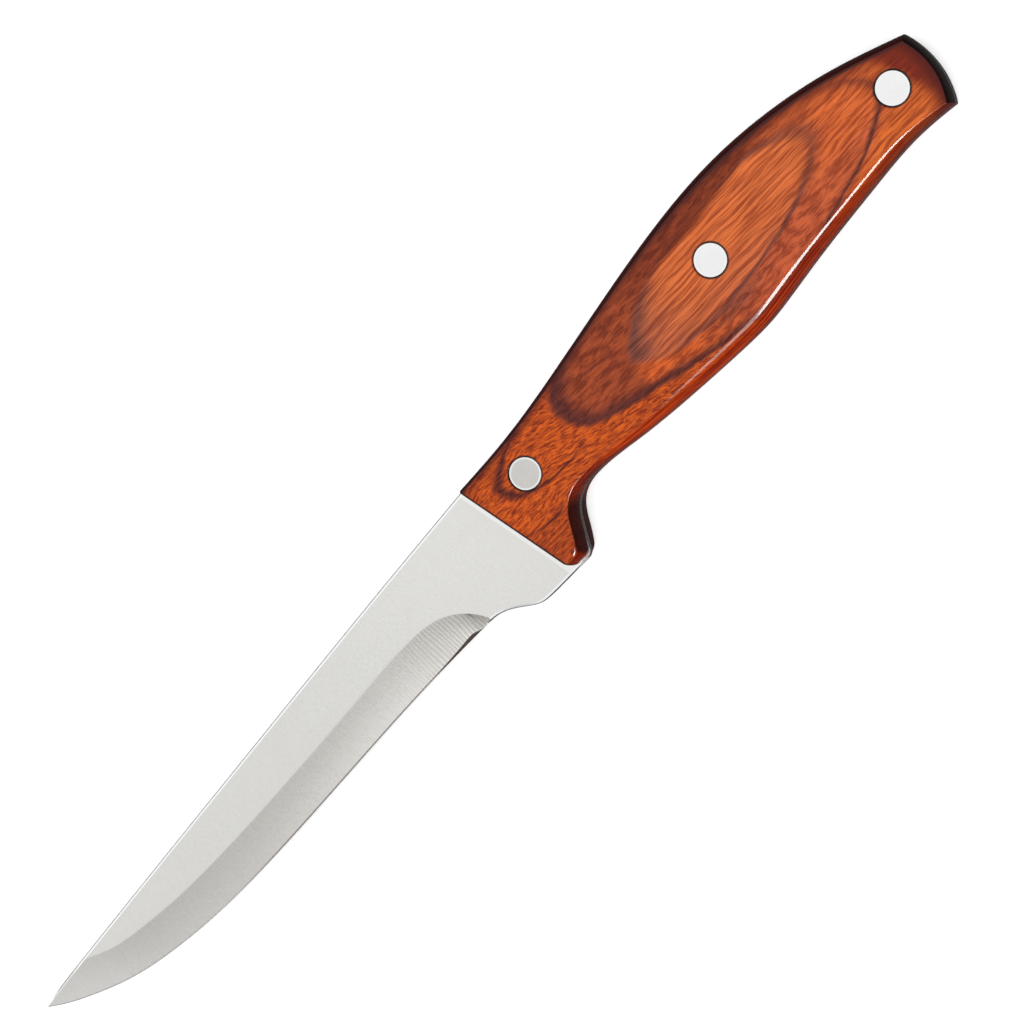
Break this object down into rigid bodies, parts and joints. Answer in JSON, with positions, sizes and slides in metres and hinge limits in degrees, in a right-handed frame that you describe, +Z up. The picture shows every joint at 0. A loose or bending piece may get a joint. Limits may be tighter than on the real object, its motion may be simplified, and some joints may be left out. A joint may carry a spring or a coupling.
{
  "type": "boning knife",
  "caption": "Boning knife with a narrow curved blade, full tang, finger notch and glossy riveted wood scales.",
  "frame": {"origin": "bottom centre of the bounding box, with the knife lying on its right scale", "axes": "+X from the tip to the butt, +Y from the cutting edge to the spine, +Z up, out of the left scale"},
  "size_m": [0.2806, 0.037, 0.0138],
  "materials": {
    "blade_steel": "brushed across the blade",
    "laminated_wood": "polished",
    "rivet_metal": "satin"
  },
  "bodies": {
    "root": {"blade_and_tang": "blade_steel", "left_scale": "laminated_wood", "right_scale": "laminated_wood", "front_rivet_sleeve": "rivet_metal", "front_rivet_stud": "rivet_metal", "middle_rivet_sleeve": "rivet_metal", "middle_rivet_stud": "rivet_metal", "rear_rivet_sleeve": "rivet_metal", "rear_rivet_stud": "rivet_metal"}
  },
  "joints": []
}
